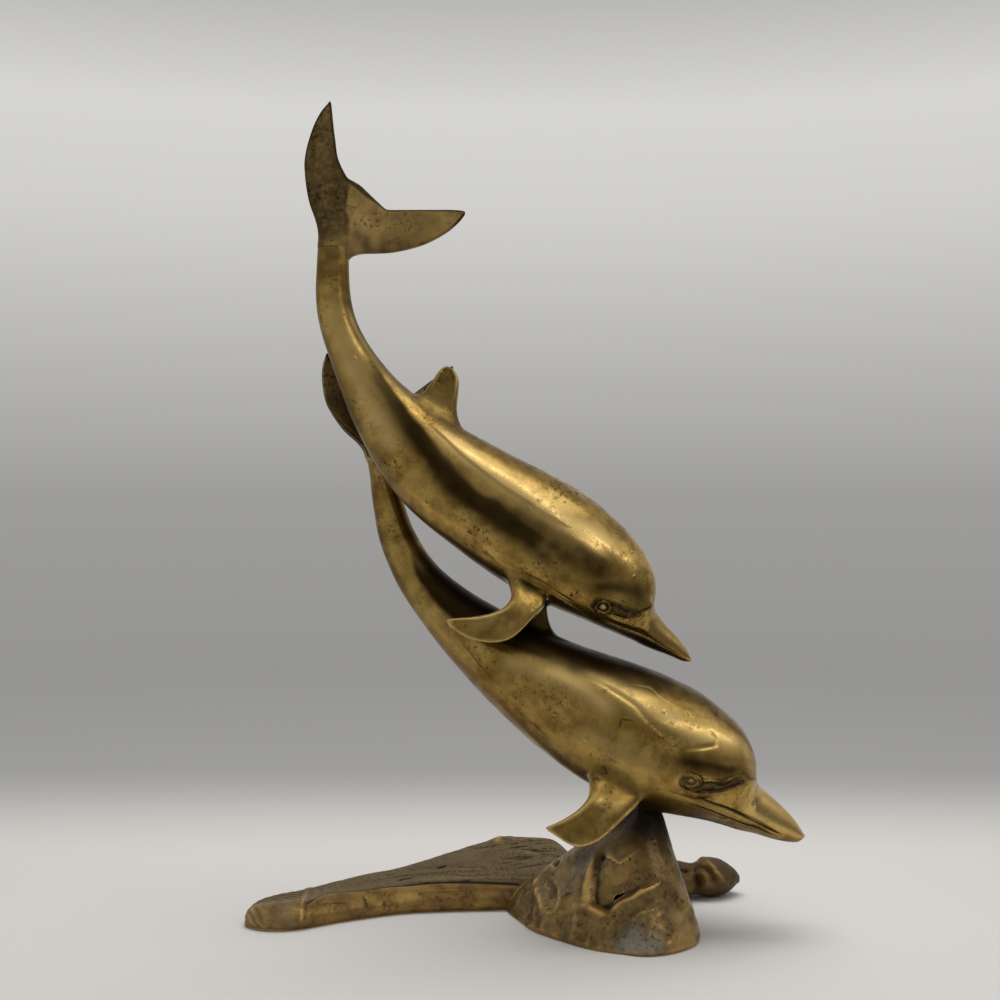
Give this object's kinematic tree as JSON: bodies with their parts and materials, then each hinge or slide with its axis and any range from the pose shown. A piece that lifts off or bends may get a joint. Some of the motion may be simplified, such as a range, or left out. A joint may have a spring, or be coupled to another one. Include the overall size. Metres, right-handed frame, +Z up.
{
  "type": "cast brass dolphin sculpture",
  "caption": "Hollow cast brass dolphins diving one above the other, brazed together and bolted to a base of rock and driftwood.",
  "frame": {"origin": "on the surface it stands on, under the middle of the sculpture's bounding box", "axes": "+Z up; +X is the way both beaks point; -Y is the side that faces the viewer"},
  "size_m": [0.342, 0.15, 0.5088],
  "materials": {
    "polished_brass": "hand-polished cast brass, worn and spotted",
    "aged_brass": "rough cast brass with dark patina",
    "zinc_steel": "zinc plated"
  },
  "bodies": {
    "root": {"upper_body_right_half": "polished_brass", "upper_body_left_half": "polished_brass", "upper_flukes": "polished_brass", "upper_dorsal_fin": "polished_brass", "upper_right_pectoral_fin": "polished_brass", "upper_left_pectoral_fin": "polished_brass", "lower_body_right_half": "polished_brass", "lower_body_left_half": "polished_brass", "lower_flukes": "polished_brass", "lower_dorsal_fin": "polished_brass", "lower_right_pectoral_fin": "polished_brass", "lower_left_pectoral_fin": "polished_brass", "stud_boss": "polished_brass", "base_rock": "aged_brass", "base_driftwood_limb": "aged_brass", "base_broken_branch": "aged_brass", "mounting_stud": "zinc_steel", "mounting_washer": "zinc_steel", "mounting_nut": "zinc_steel"}
  },
  "joints": []
}
